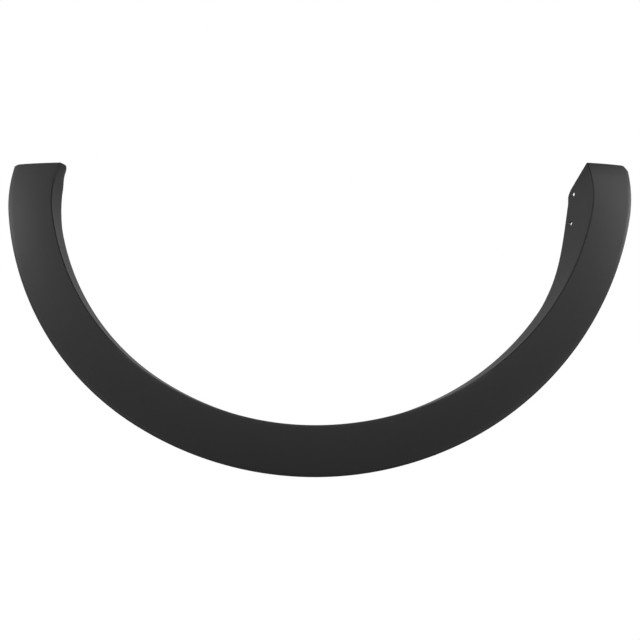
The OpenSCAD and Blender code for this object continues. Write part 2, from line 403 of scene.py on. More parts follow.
    def rim_point(self, slope: float) -> Vector:
        """Finds a point of the rim in the section.

        Args:
            slope: The rim's slope at the point, in radians.

        Returns:
            The point, as [inward, back].
        """
        return Vector((
            self.rim_r * (math.sin(self.rim_foot_slope) - math.sin(slope)),
            -self.rim_foot_h - self.rim_r * (math.cos(slope) - math.cos(self.rim_foot_slope))))

    def rim_w(self) -> float:
        """Returns the rim's width."""
        return self.rim_point(self.rim_top_slope).x

    def face_r(self, width: float) -> float:
        """Returns the radius of the crowned face in the section."""
        return (width - self.edge_r - self.rim_w()) / (
            math.sin(self.face_outer_slope) - math.sin(self.face_inner_slope))

    def face_point(self, width: float, slope: float) -> Vector:
        """Finds a point of the crowned face in the section.

        Args:
            width: The face's width.
            slope: Its slope at the point, in radians.

        Returns:
            The point, as [inward, back].
        """
        return self.rim_point(self.rim_top_slope) + self.face_r(width) * Vector((
            math.sin(self.face_outer_slope) - math.sin(slope),
            math.cos(self.face_outer_slope) - math.cos(slope)))

    def face_y(self, width: float, inward: float) -> float:
        """Returns how far back the face's outer skin lies, at a distance in from the outer edge."""
        sine = math.sin(self.face_outer_slope) - (inward - self.rim_w()) / self.face_r(width)
        return self.face_point(width, math.asin(sine)).y

    def fold(self, limb: Limb, place: float) -> Vector:
        """Returns the corner between the face and the flange, as [inward, back]."""
        width = self.face_w(limb, place)
        return Vector((width, self.face_point(width, self.face_inner_slope).y))

    def flange(self, limb: Limb, place: float) -> Vector:
        """Returns the step, [inward, back], from the fold to the flange's back edge."""
        return Vector((self.lean(limb, place), self.depth(limb, place)))

    def fold_line(self, limb: Limb, place: float) -> list[Vector]:
        """Shapes the fold: a plain rounding over the crown, with a fine groove along the limbs.

        Args:
            limb: The limb.
            place: Distance along the outer edge from the crown.

        Returns:
            Points from the face's inner edge to the flange.
        """
        r, depth = self.edge_r, self.groove_depth
        # Steps from the sharp corner between face and flange
        plain =((-0.53 * r, 0.09 * r), (-0.24 * r, 0.29 * r), (0, 0.65 * r), (0.01 * r, 1.12 * r),
                 (0.03 * r, 1.53 * r))
        grooved = ((-0.74 * r, 0.2 * r), (-0.56 * r, depth), (-0.09 * r, depth + 0.06 * r),
                   (0.15 * r, 0.5 * r), (0.41 * r, 0.79 * r))
        share, corner = self.groove(limb, place), self.fold(limb, place)
        middle = [corner + Vector(a).lerp(Vector(b), share) for a, b in zip(plain, grooved)]
        start = self.face_point(corner.x, self.face_inner_slope)
        stop = corner + self.flange(limb, place).normalized() * self.flange_start * r
        return round_corners([start, *middle, stop], self.fold_passes)

    def flange_skin(self, limb: Limb, place: float, set_back: float) -> list[SkinPoint]:
        """Lays one skin of the flange, from beside the fold to its rounded back edge.

        Args:
            limb: The limb.
            place: Distance along the outer edge from the crown.
            set_back: 0 for the outer skin, or the wall for the inner one.

        Returns:
            The skin's points.
        """
        whole = self.flange(limb, place)
        run = whole.normalized()
        across = Vector((-run.y, run.x))
        start, stop = self.flange_start * self.edge_r, whole.length - self.flange_edge_r
        turn = -1 if set_back > 0 else 1
        line: list[SkinPoint] = []
        for step in range(1, self.flange_steps + 1):
            along = mix(start, stop, math.sin(math.pi / 2 * step / self.flange_steps))
            spot = self.fold(limb, place) + across * set_back + run * along
            line.append(SkinPoint(spot.x, spot.y, along))
        for angle in self.flange_edge_turns:
            along = stop + self.flange_edge_r * math.sin(angle)
            eased = set_back + turn * self.flange_edge_r * (1 - math.cos(angle))
            spot = self.fold(limb, place) + across * eased + run * along
            line.append(SkinPoint(spot.x, spot.y, along))
        return line

    def outer_skin(self, limb: Limb, place: float) -> list[SkinPoint]:
        """Lays the skin that shows, from the seat over the rim, the face and the fold to the flange.

        Args:
            limb: The limb.
            place: Distance along the outer edge from the crown.

        Returns:
            The skin's points.
        """
        width = self.face_w(limb, place)
        eased = self.seat_inset * (1 - math.sqrt(0.5))
        foot = [SkinPoint(self.seat_inset, 0), SkinPoint(eased, -eased), SkinPoint(0, -self.seat_inset)]
        slopes = [mix(self.rim_foot_slope, self.rim_top_slope, i / self.rim_steps)
                  for i in range(self.rim_steps + 1)]
        rim = [SkinPoint(*self.rim_point(slope)) for slope in slopes]
        slopes = [mix(self.face_outer_slope, self.face_inner_slope, i / self.face_steps)
                  for i in range(1, self.face_steps)]
        face = [SkinPoint(*self.face_point(width, slope)) for slope in slopes]
        fold = [SkinPoint(*spot) for spot in self.fold_line(limb, place)]
        return foot + rim + face + fold + self.flange_skin(limb, place, 0.0)

    def inner_skin(self, limb: Limb, place: float) -> list[SkinPoint]:
        """Lays the hidden skin one wall behind, from the seat's inner edge to the flange's edge.

        Args:
            limb: The limb.
            place: Distance along the outer edge from the crown.

        Returns:
            The skin's points.
        """
        width, run = self.face_w(limb, place), self.flange(limb, place).normalized()
        seat = self.seat_inset + self.seat_w
        start = self.rim_w() + self.root_start * self.wall
        stop = width - self.wall * run.y - self.inner_fillet
        land = [SkinPoint(seat, 0), SkinPoint(seat + self.land_draft * 0.5, -self.land_h * 0.5)]
        root = round_corners([
            Vector((seat + self.land_draft, -self.land_h)),
            Vector((seat + self.root_draft * self.land_draft,
                    self.face_y(width, start) * self.root_rise + self.wall)),
            Vector((start, self.face_y(width, start) + self.wall))], self.fold_passes)
        face = [SkinPoint(inward, self.face_y(width, inward) + self.wall)
                for inward in (mix(start, stop, i / self.face_steps) for i in range(1, self.face_steps))]
        corner = self.fold(limb, place) + Vector((-run.y, run.x)) * self.wall
        bend = round_corners([
            Vector((stop, self.face_y(width, stop) + self.wall)),
            corner + run * self.wall * self.bend_reach,
            corner + run * self.flange_start * self.edge_r], self.fold_passes)
        return (land + [SkinPoint(*spot) for spot in root] + face
                + [SkinPoint(*spot) for spot in bend] + self.flange_skin(limb, place, self.wall))

    def trim(self, limb: Limb, place: float, spot: SkinPoint) -> float:
        """Finds how far a line along the arch stops short of the cut at its end, to round a corner.

        Args:
            limb: The limb.
            place: Distance along the outer edge from the crown.
            spot: The line's point in the section.

        Returns:
            The trimmed length.
        """
        if spot.along <= 0:
            corner = self.rim_corner_plain if limb is Limb.PLAIN else self.rim_corner_tab
            return corner * max(0.0, 1 - spot.inward / self.rim_corner_w)
        radius = self.flange_corner_r if limb is Limb.PLAIN else self.tab_corner_r
        into = max(0.0, radius - (self.flange(limb, place).length - spot.along))
        return radius - math.sqrt(radius * radius - into * into)

    def last_heading(self, limb: Limb, inward: float, trim: float) -> float:
        """Finds the heading at which a line along the arch ends, at the end cut or at the tab's slanted cut.

        Args:
            limb: The limb.
            inward: The line's distance in from the outer edge.
            trim: Length by which the line stops short of the cut.

        Returns:
            The heading in radians.
        """
        heading = self.outline.end_heading(limb, inward, trim)
        if limb is Limb.PLAIN:
            return heading
        past_edge = self.edge_r / 3
        start = self.face_w_tab - past_edge
        return min(heading, self.outline.slanted_heading(self.tab_turn, start, inward, trim))


@dataclass(frozen=True)
class ShellLoft:
    """The shell: rings of the section set along the arch, and a cap at each end."""

    section: TrimSection = TrimSection()
    step: float = 6.0 * MM
    end_ease: float = 0.5 * MM
    ease_shares: tuple[float, ...] = (0.0, 0.3, 1.0)

    def places(self, limb: Limb) -> list[tuple[float, float]]:
        """Places the rings along one limb.

        Args:
            limb: The limb.

        Returns:
            For each ring its distance from the crown along the outer edge, and how far its skins are eased.
        """
        total = self.section.outline.total_len(limb)
        count = math.ceil(total / self.step)
        rings = [(total * i / count, 0.0) for i in range(1, count)]
        return rings + [(total, eased) for eased in self.ease_shares]

    def round_off(self, share: float) -> float:
        """Returns how far the rounding at an end stands off its corner, at a share of its way."""
        return self.end_ease * (1 - math.sqrt(1 - share ** 2))

    def ring(self, limb: Limb, place: float, eased: float) -> list[Vector]:
        """Sets one ring of the section into the arch.

        Args:
            limb: The limb.
            place: Distance along the outer edge from the crown.
            eased: Share, from 0 to 1, of the rounding between the skins and the end cut.

        Returns:
            The ring's points, round the outer skin and back along the inner one.
        """
        outline, section = self.section.outline, self.section
        total, turn_in = outline.total_len(limb), outline.limb_len(limb)
        skin = section.outer_skin(limb, place) + section.inner_skin(limb, place)[::-1]
        over = clamp01((place - turn_in) / (total - turn_in))
        start, (centre, _) = outline.heading(limb, turn_in), outline.arc(limb, total)
        set_in = self.round_off(eased)
        short = self.round_off(1 - eased) if place == total else 0.0
        points = []
        for index, spot in enumerate(skin):
            before, after = skin[index - 1], skin[(index + 1) % len(skin)]
            edge = Vector((after.inward - before.inward, after.back - before.back)).normalized()
            inward, back = spot.inward - edge.y * set_in, spot.back + edge.x * set_in
            if over > 0:
                cut = section.last_heading(limb, inward, section.trim(limb, place, spot) + short)
                heading = mix(start, cut, over)
                flat = centre + (outline.end_r - inward) * Vector((math.sin(heading), math.cos(heading)))
            else:
                flat = outline.point(limb, place, inward)
            points.append(Vector((limb.value * flat.x, back, flat.y)))
        return points

    @staticmethod
    def cap(ring: Sequence[Vector]) -> list[tuple[int, ...]]:
        """Closes a ring with triangles, found from straight above, where its two skins never cross."""
        return tessellate_polygon([[Vector((point.x, point.y, 0)) for point in ring]])

    def build(self, finishes: Sequence[bpy.types.Material]) -> bpy.types.Object:
        """Builds the shell.

        Args:
            finishes: The finishes of the two sides.

        Returns:
            The shell, with each skin in its own finish.
        """
        rings = [self.ring(Limb.TAB, *place) for place in reversed(self.places(Limb.TAB))]
        rings.append(self.ring(Limb.PLAIN, 0.0, 0.0))
        rings += [self.ring(Limb.PLAIN, *place) for place in self.places(Limb.PLAIN)]
        count, split = len(rings[0]), len(self.section.outer_skin(Limb.PLAIN, 0.0))
        faces: list[tuple[int, ...]] = []
        sides: list[SkinSide] = []
        for row in range(len(rings) - 1):
            for index in range(count):
                after = (index + 1) % count
                low, high = row * count, (row + 1) * count
                faces.append((low + index, high + index, high + after, low + after))
                sides.append(SkinSide.SHOW if index < split else SkinSide.BACK)
        last = (len(rings) - 1) * count
        for base, ring in ((0, rings[0]), (last, rings[-1])):
            for corners in self.cap(ring):
                faces.append(tuple(base + index for index in corners))
                sides.append(SkinSide.SHOW)
        mesh = bpy.data.meshes.new("arch_trim_moulding")
        mesh.from_pydata([point for ring in rings for point in ring], [], faces)
        for finish in finishes:
            mesh.materials.append(finish)
        mesh.polygons.foreach_set("material_index", [side.value for side in sides])
        outward = bmesh.new()
        outward.from_mesh(mesh)
        bmesh.ops.recalc_face_normals(outward, faces=outward.faces)
        outward.to_mesh(mesh)
        outward.free()
        return link(bpy.data.objects.new("arch_trim_moulding", mesh))


def link(thing: bpy.types.Object) -> bpy.types.Object:
    """Puts an object into the scene and returns it."""
    bpy.context.scene.collection.objects.link(thing)
    return thing


@dataclass(frozen=True)
class SectionPlane:
    """The plane across the arch at one place: x in from the outer edge, y back, z along the arch."""

    outline: ArchOutline
    limb: Limb
    place: float

    def matrix(self) -> Matrix:
        """Finds the plane.

        Returns:
            Its place and turn in the arch.
        """
        spot = self.outline.point(self.limb, self.place, 0.0)
        heading = self.limb.value * self.outline.heading(self.limb, self.place)
        return (Matrix.Translation((self.limb.value * spot.x, 0.0, spot.y))
                @ Matrix.Rotation(math.pi / 2 + heading, 4, "Y"))


def prism(build: bmesh.types.BMesh, outline: Iterable[Sequence[float]], height: float, place: Matrix,
          rounding: float = 0.0) -> None:
    """Adds a straight prism to a mesh in the making.

    Args:
        build: The mesh in the making.
        outline: Corners of the prism's section, as [x, y].
        height: The prism's height, half of it on each side of z = 0.
        place: Where the prism goes.
        rounding: How far its edges are rounded.
    """
    corners = [Vector((x, y, 0)) for x, y in outline]
    ends = [[build.verts.new(corner + Vector((0, 0, side * height / 2))) for corner in corners]
            for side in (-1, 1)]
    faces = [build.faces.new(ends[0]), build.faces.new(ends[1])]
    for index in range(len(corners)):
        after = (index + 1) % len(corners)
        faces.append(build.faces.new((ends[0][index], ends[0][after], ends[1][after], ends[1][index])))
    bmesh.ops.recalc_face_normals(build, faces=faces)
    verts = ends[0] + ends[1]
    if rounding > 0:
        edges = list({edge for face in faces for edge in face.edges})
        made = bmesh.ops.bevel(build, geom=edges, offset=rounding, segments=2, profile=0.5, affect="EDGES")
        verts = list({vert for face in made["faces"] for vert in face.verts}
                     | {vert for vert in verts if vert.is_valid})
    bmesh.ops.transform(build, matrix=place, verts=verts)


def lathe(build: bmesh.types.BMesh, profile: Sequence[tuple[float, float]], place: Matrix,
          segments: int = 48) -> None:
    """Adds a closed turned form to a mesh in the making.

    Args:
        build: The mesh in the making.
        profile: Radius and height of each ring, from one end to the other.
        place: Where the form goes, with its axis along z.
        segments: How many sides the rings have.
    """
    rings = []
    for radius, height in profile:
        angles = (2 * math.pi * i / segments for i in range(segments))
        rings.append([build.verts.new(place @ Vector((radius * math.cos(a), radius * math.sin(a), height)))
                      for a in angles])
    faces = [build.faces.new(rings[0]), build.faces.new(rings[-1])]
    for low, high in zip(rings, rings[1:]):
        for index in range(segments):
            after = (index + 1) % segments
            faces.append(build.faces.new((low[index], low[after], high[after], high[index])))
    bmesh.ops.recalc_face_normals(build, faces=faces)


def finish_mesh(build: bmesh.types.BMesh, name: str,
                finishes: Sequence[bpy.types.Material]) -> bpy.types.Object:
    """Turns a mesh in the making into an object whose faces all have the back side's finish.

    Args:
        build: The mesh in the making, which is freed.
        name: The object's name.
        finishes: The finishes of the two sides.

    Returns:
        The object.
    """
    for face in build.faces:
        face.material_index = SkinSide.BACK.value
    mesh = bpy.data.meshes.new(name)
    for finish in finishes:
        mesh.materials.append(finish)
    build.to_mesh(mesh)
    build.free()
    return link(bpy.data.objects.new(name, mesh))


@dataclass(frozen=True)
class ScrewTab:
    """The two screw holes in the tab, each with a round pad behind it."""

    section: TrimSection
    hole_r: float = 3.0 * MM
    hole_edge: float = 10 * MM
    from_cut: tuple[float, float] = (33 * MM, 99 * MM)
    mouth_ease: float = 0.05 * MM
    pad_r: float = 5.5 * MM
    pad_h: float = 1.4 * MM
    pad_ease: float = 0.4 * MM
    pad_ease_middle: float = 0.3
    cut_past: float = 5 * MM

    def places(self) -> list[Matrix]:
        """Finds the holes on the tab's outer skin.

        Returns:
            Each hole's place and turn, with z along the hole into the opening.
        """
        outline = self.section.outline
        places = []
        for from_cut in self.from_cut:
            place = outline.total_len(Limb.TAB) - from_cut
            whole = self.section.flange(Limb.TAB, place)
            spot = self.section.fold(Limb.TAB, place) + whole.normalized() * (whole.length - self.hole_edge)
            turn = Matrix.Rotation(-math.atan2(whole.x, whole.y), 4, "Z")
            places.append(SectionPlane(outline, Limb.TAB, place).matrix()
                          @ Matrix.Translation((spot.x, spot.y, 0)) @ turn
                          @ Matrix.Rotation(math.pi / 2, 4, "Y"))
        return places

    def add_pads(self, build: bmesh.types.BMesh) -> None:
        """Adds the pads behind the holes.

        Args:
            build: The mesh in the making.
        """
        wall, corner = self.section.wall, self.pad_ease
        low, middle = -wall - self.pad_h, self.pad_ease_middle * corner
        profile = [(self.pad_r - corner, low), (self.pad_r - middle, low + middle),
                   (self.pad_r, low + corner), (self.pad_r, -wall / 2)]
        for place in self.places():
            lathe(build, profile, place)

    def cut_holes(self, build: bmesh.types.BMesh) -> None:
        """Adds the cutters for the holes, with eased mouths.

        Args:
            build: The mesh in the making.
        """
        low, past, flare = -self.section.wall - self.pad_h, self.cut_past, self.mouth_ease
        profile = [(self.hole_r + flare + past, low - past), (self.hole_r + flare, low),
                   (self.hole_r, low + flare), (self.hole_r, -flare), (self.hole_r + flare, 0.0),
                   (self.hole_r + flare + past, past)]
        for place in self.places():
            lathe(build, profile, place)


@dataclass(frozen=True)
class ClipSeats:
    """Hollow boxes on the back of the face, each open at one side, with a slot for a spring clip's neck."""

    section: TrimSection
    count: int = 7
    pitch: float = 185 * MM
    length: float = 24 * MM
    width: float = 19 * MM
    from_fold: float = 15 * MM
    wall: float = 1.6 * MM
    slot: float = 7.5 * MM
    body_gap: float = 1.2 * MM
    rounding: float = 0.35 * MM
    floor_walls: float = 1.2
    slot_walls: float = 1.5
    slot_segments: int = 16

    def planes(self) -> list[SectionPlane]:
        """Places the seats along the arch.

        Returns:
            The section planes through their middles.
        """
        half = (self.count - 1) // 2
        return [SectionPlane(self.section.outline, Limb.TAB if i < 0 else Limb.PLAIN, abs(i) * self.pitch)
                for i in range(-half, half + 1)]

    def sides(self, plane: SectionPlane) -> tuple[float, float, float]:
        """Returns the face's width, and the seat's near and far sides, in from the outer edge."""
        width = self.section.face_w(plane.limb, plane.place)
        return width, width - self.from_fold, width - self.from_fold - self.width

    def add_boxes(self, build: bmesh.types.BMesh) -> None:
        """Adds the seats' outer forms.

        Args:
            build: The mesh in the making.
        """
        root = self.section.wall / 2
        for plane in self.planes():
            width, near, far = self.sides(plane)
            prism(build, [(far, self.section.face_y(width, far) + root),
                          (near, self.section.face_y(width, near) + root),
                          (near, -self.body_gap), (far, -self.body_gap)],
                  self.length, plane.matrix(), self.rounding)

    def cut_hollows(self, build: bmesh.types.BMesh) -> None:
        """Adds the cutters for the seats' hollows.

        Args:
            build: The mesh in the making.
        """
        floor_y, roof_y = self.floor_walls * self.section.wall, -self.body_gap - self.wall
        for plane in self.planes():
            width, near, far = self.sides(plane)
            inner, past = near - self.wall, far - self.wall
            prism(build, [(past, self.section.face_y(width, far) + floor_y),
                          (inner, self.section.face_y(width, near) + floor_y),
                          (inner, roof_y), (past, roof_y)], self.length - 2 * self.wall, plane.matrix())

    def cut_slots(self, build: bmesh.types.BMesh) -> None:
        """Adds the cutters for the slots in the seats' roofs.

        Args:
            build: The mesh in the making.
        """
        low, high = -self.body_gap - self.slot_walls * self.wall, -self.body_gap + self.wall
        upright = Matrix.Translation((0, (low + high) / 2, 0)) @ Matrix.Rotation(math.pi / 2, 4, "X")
        radius = self.slot / 2
        angles = [mix(-math.pi / 2, math.pi / 2, i / self.slot_segments)
                  for i in range(self.slot_segments + 1)]
        for plane in self.planes():
            _, _, far = self.sides(plane)
            middle, past = far + self.width / 2, far - self.wall
            outline = [(middle + radius * math.cos(a), radius * math.sin(a)) for a in angles]
            prism(build, outline + [(past, radius), (past, -radius)], high - low, plane.matrix() @ upright)


@dataclass(frozen=True)
class GussetRibs:
    """Thin ribs that stiffen the fold between the face and the flange."""

    section: TrimSection
    seats: ClipSeats
    per_bay: int = 2
    leg: float = 13 * MM
    thickness: float = 1.8 * MM
    root_walls: float = 0.55
    rounding: float = 0.3 * MM

    def add_ribs(self, build: bmesh.types.BMesh) -> None:
        """Adds the ribs, the same number between each two clip seats.

        Args:
            build: The mesh in the making.
        """
        bays = (self.seats.count - 1) // 2
        wall, foot_h = self.section.wall, self.thickness / 3
        for limb in Limb:
            for number in range(bays * self.per_bay):
                place = (number + 0.5) * self.seats.pitch / self.per_bay
                width, run = self.section.face_w(limb, place), self.section.flange(limb, place).normalized()
                root = wall * self.root_walls
                corner = self.section.fold(limb, place) + root * Vector((-run.y, run.x)) + run * root
                foot = width - self.leg - wall
                outline = [corner, corner + run * self.leg, corner + Vector((-wall / 2, self.leg)),
                           (foot, self.section.face_y(width, foot) + wall + foot_h),
                           (foot, self.section.face_y(width, foot) + root)]
                plane = SectionPlane(self.section.outline, limb, place)
                prism(build, outline, self.thickness, plane.matrix(), self.rounding)


def combine(base: bpy.types.Object, tool: bpy.types.Object, operation: str) -> None:
    """Joins a tool to a base or cuts it away, and removes the tool.

    Args:
        base: The object that stays.
        tool: The object that is joined or cut away, made of parts that don't overlap.
        operation: UNION or DIFFERENCE.
    """
    change = base.modifiers.new(operation.lower(), "BOOLEAN")
    change.operation = operation
    change.solver = "EXACT"
    change.object = tool
    graph = bpy.context.evaluated_depsgraph_get()
    mesh = bpy.data.meshes.new_from_object(base.evaluated_get(graph))
    base.modifiers.clear()
    old, base.data = base.data, mesh
    mesh.name = base.name
    bpy.data.meshes.remove(old)
    bpy.data.objects.remove(tool)


def off_line(vert: bmesh.types.BMVert) -> float:
    """Finds how far a point with two edges lies off the straight line between its neighbours.

    Args:
        vert: The point.

    Returns:
        The distance.
    """
    start, stop = (edge.other_vert(vert).co for edge in vert.link_edges)
    return (vert.co - start).cross(stop - start).length / (stop - start).length


def tidy(mesh: bpy.types.Mesh, gap: float) -> None:
    """Merges points that lie close together, and removes the faces and the edge points that vanish.

    Args:
        mesh: The mesh.
        gap: The distance below which points are merged.
    """
    build = bmesh.new()
    build.from_mesh(mesh)
    bmesh.ops.remove_doubles(build, verts=build.verts, dist=gap)
    bmesh.ops.dissolve_degenerate(build, edges=build.edges, dist=gap)
    spare = [vert for vert in build.verts if len(vert.link_edges) == 2 and off_line(vert) < gap]
    bmesh.ops.dissolve_verts(build, verts=spare)
    build.to_mesh(mesh)
    build.free()


@dataclass(frozen=True)
class MouldedPlastic:
    """A finish of the dark grey moulded plastic, with its grain and its slight unevenness."""

    name: str
    colour: tuple[float, float, float]
    roughness: float
    roughness_spread: float
    tone_spread: float
    wear: float
    # Power on the ambient occlusion: painted shade that darkens the colour in the fold's groove, the screw
    # holes and other crevices
    painted_crevice_shade: float
    grain_size: float
    grain_height: float
    specular: float = 0.5
    ior: float = 1.5

    def build(self, grain: bpy.types.NodeTree) -> bpy.types.Material:
        """Builds the material.

        Args:
            grain: The shared group that makes tone, roughness and height.

        Returns:
            The material.
        """
        material = bpy.data.materials.new(self.name)
        material.use_nodes = True
        nodes, links = material.node_tree.nodes, material.node_tree.links
        shader = nodes["Principled BSDF"]
        effect = nodes.new("ShaderNodeGroup")
        effect.node_tree = grain
        for socket, value in (
                ("Base", (*self.colour, 1.0)), ("Roughness", self.roughness),
                ("Roughness spread", self.roughness_spread), ("Tone spread", self.tone_spread),
                ("Wear", self.wear), ("Painted crevice shade", self.painted_crevice_shade), ("Cell size", self.grain_size)):
            effect.inputs[socket].default_value = value
        bump = nodes.new("ShaderNodeBump")
        bump.inputs["Strength"].default_value = 1.0
        bump.inputs["Distance"].default_value = self.grain_height
        shader.inputs["IOR"].default_value = self.ior
        shader.inputs["Specular IOR Level"].default_value = self.specular
        links.new(effect.outputs["Colour"], shader.inputs["Base Color"])
        links.new(effect.outputs["Roughness"], shader.inputs["Roughness"])
        links.new(effect.outputs["Height"], bump.inputs["Height"])
        links.new(bump.outputs["Normal"], shader.inputs["Normal"])
        return material


class GrainGroup:
    """The shader group that both finishes share: grain, soft tones, worn edges, and painted shade that
    darkens the colour in crevices.
    """

    name = "moulded_grain"
    cell_smoothness = 0.6
    cell_share = 0.75
    fine_share = 0.4
    cloudy_share = 0.6
    edge_pointiness = (0.52, 0.62)
    # How far the ambient occlusion reaches for the painted shade in crevices
    painted_shade_reach = 4 * MM
    # Each noise's scale and detail
    fine_noise = (1400.0, 3.0)
    broad_noise = (9.0, 2.0)
    cloudy_noise = (65.0, 4.0)
    noise_middle = 0.5

    def __init__(self) -> None:
        """Starts the group with its named inputs and outputs."""
        self.tree = bpy.data.node_groups.new(self.name, "ShaderNodeTree")
        sockets = self.tree.interface
        sockets.new_socket("Base", in_out="INPUT", socket_type="NodeSocketColor")
        for label in ("Roughness", "Roughness spread", "Tone spread", "Wear", "Painted crevice shade", "Cell size"):
            sockets.new_socket(label, in_out="INPUT", socket_type="NodeSocketFloat")
        sockets.new_socket("Colour", in_out="OUTPUT", socket_type="NodeSocketColor")
        sockets.new_socket("Roughness", in_out="OUTPUT", socket_type="NodeSocketFloat")
        sockets.new_socket("Height", in_out="OUTPUT", socket_type="NodeSocketFloat")
        self.source = self.tree.nodes.new("NodeGroupInput")
        self.result = self.tree.nodes.new("NodeGroupOutput")
        self.position = self.tree.nodes.new("ShaderNodeTexCoord").outputs["Object"]

    def noise(self, scale: float, detail: float) -> bpy.types.NodeSocket:
        """Adds an even noise.

        Args:
            scale: The noise's scale.
            detail: Its detail.

        Returns:
            The output of its value.
        """
        node = self.tree.nodes.new("ShaderNodeTexNoise")
        node.inputs["Scale"].default_value = scale
        node.inputs["Detail"].default_value = detail
        self.tree.links.new(self.position, node.inputs["Vector"])
        return node.outputs["Fac"]

    def calculate(self, operation: str, *values: bpy.types.NodeSocket | float) -> bpy.types.NodeSocket:
        """Adds a step of arithmetic.

        Args:
            operation: The Math node's operation.
            values: Its inputs, each a socket or a number.

        Returns:
            The result's output.
        """
        node = self.tree.nodes.new("ShaderNodeMath")
        node.operation = operation
        for socket, value in zip(node.inputs, values):
            if isinstance(value, bpy.types.NodeSocket):
                self.tree.links.new(value, socket)
            else:
                socket.default_value = value
        return node.outputs["Value"]

    def build(self) -> bpy.types.NodeTree:
        """Wires the group.

        Returns:
            The group's node tree.
        """
        given, links = self.source.outputs, self.tree.links
        cells = self.tree.nodes.new("ShaderNodeTexVoronoi")
        cells.feature = "SMOOTH_F1"
        cells.inputs["Smoothness"].default_value = self.cell_smoothness
        links.new(self.position, cells.inputs["Vector"])
        links.new(self.calculate("DIVIDE", 1.0, given["Cell size"]), cells.inputs["Scale"])
        fine = self.noise(*self.fine_noise)
        height = self.calculate("ADD", self.calculate("MULTIPLY", cells.outputs["Distance"], self.cell_share),
                                self.calculate("MULTIPLY", fine, self.fine_share))
        broad, cloudy = (self.calculate("SUBTRACT", self.noise(*kind), self.noise_middle)
                         for kind in (self.broad_noise, self.cloudy_noise))
        uneven = self.calculate("ADD", broad, self.calculate("MULTIPLY", cloudy, self.cloudy_share))
        tone = self.calculate("MULTIPLY_ADD", uneven, given["Tone spread"], 1.0)
        geometry = self.tree.nodes.new("ShaderNodeNewGeometry")
        edge = self.tree.nodes.new("ShaderNodeMapRange")
        for socket, pointiness in zip(("From Min", "From Max"), self.edge_pointiness):
            edge.inputs[socket].default_value = pointiness
        links.new(geometry.outputs["Pointiness"], edge.inputs["Value"])
        worn = self.calculate("MULTIPLY", edge.outputs["Result"], given["Wear"])
        # Painted shade: ambient occlusion darkens the colour in the groove along the fold, inside the screw
        # holes and in other crevices
        crevice = self.tree.nodes.new("ShaderNodeAmbientOcclusion")
        crevice.only_local = True
        crevice.inputs["Distance"].default_value = self.painted_shade_reach
        painted_shade_factor = self.calculate("POWER", crevice.outputs["AO"], given["Painted crevice shade"])
        lifted = self.calculate("MULTIPLY", self.calculate("ADD", tone, worn), painted_shade_factor)
        colour = self.tree.nodes.new("ShaderNodeVectorMath")
        colour.operation = "SCALE"
        links.new(given["Base"], colour.inputs["Vector"])
        links.new(lifted, colour.inputs["Scale"])
        rough = self.calculate("MULTIPLY_ADD", uneven, given["Roughness spread"], given["Roughness"])
        links.new(colour.outputs["Vector"], self.result.inputs["Colour"])
        links.new(rough, self.result.inputs["Roughness"])
        links.new(height, self.result.inputs["Height"])
        return self.tree


# The painted shade in crevices is stronger on the face than on the back
GRAINED_FACE = MouldedPlastic(
    name="grained_dark_grey", colour=(0.0301, 0.0301, 0.0303), roughness=0.52, roughness_spread=0.06,
    tone_spread=0.10, wear=0.10, painted_crevice_shade=1.5, grain_size=0.9 * MM, grain_height=0.04 * MM)
SATIN_BACK = MouldedPlastic(
    name="satin_dark_grey", colour=(0.0271, 0.0271, 0.0273), roughness=0.42, roughness_spread=0.10,
    tone_spread=0.16, wear=0.06, painted_crevice_shade=0.6, grain_size=2.2 * MM, grain_height=0.015 * MM)


@dataclass(frozen=True)
class TrimMoulding:
    """The whole moulding, one piece from rim to flange."""

    section: TrimSection = TrimSection()
    smooth_angle: float = math.radians(34)
    merge_gap: float = 0.01 * MM

    def build(self) -> bpy.types.Object:
        """Builds and dresses the moulding.

        Returns:
            The finished piece, riding on its body.
        """
        seats = ClipSeats(self.section)
        tab = ScrewTab(self.section)
        grain = GrainGroup().build()
        finishes = [finish.build(grain) for finish in (GRAINED_FACE, SATIN_BACK)]
        piece = ShellLoft(self.section).build(finishes)
        LOG.info("shell: %d faces", len(piece.data.polygons))
        added = bmesh.new()
        seats.add_boxes(added)
        GussetRibs(self.section, seats).add_ribs(added)
        tab.add_pads(added)
        combine(piece, finish_mesh(added, "back_features", finishes), "UNION")
        LOG.info("with back features: %d faces", len(piece.data.polygons))
        for cut in (seats.cut_hollows, seats.cut_slots, tab.cut_holes):
            removed = bmesh.new()
            cut(removed)
            combine(piece, finish_mesh(removed, "cutters", finishes), "DIFFERENCE")
        LOG.info("with hollows, slots and holes: %d faces", len(piece.data.polygons))
        tidy(piece.data, self.merge_gap)
        piece.data.shade_smooth()
        piece.data.set_sharp_from_angle(angle=self.smooth_angle)
        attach(piece, "root")
        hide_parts("arch_trim")
        return piece


@dataclass(frozen=True)
class SoftBox:
    """A large rectangular lamp."""

    name: str
    place: tuple[float, float, float]
    aim: tuple[float, float, float]
    size: tuple[float, float]
    power: float

    def build(self) -> bpy.types.Object:
        """Hangs the lamp.

        Returns:
            The lamp, which the camera doesn't see.
        """
        data = bpy.data.lights.new(self.name, "AREA")
        data.shape = "RECTANGLE"
        data.size, data.size_y = self.size
        data.energy = self.power
        lamp = link(bpy.data.objects.new(self.name, data))
        lamp.location = self.place
        lamp.rotation_mode = "QUATERNION"
        lamp.rotation_quaternion = (Vector(self.aim) - Vector(self.place)).to_track_quat("-Z", "Y")
        lamp.visible_camera = False
        return lamp


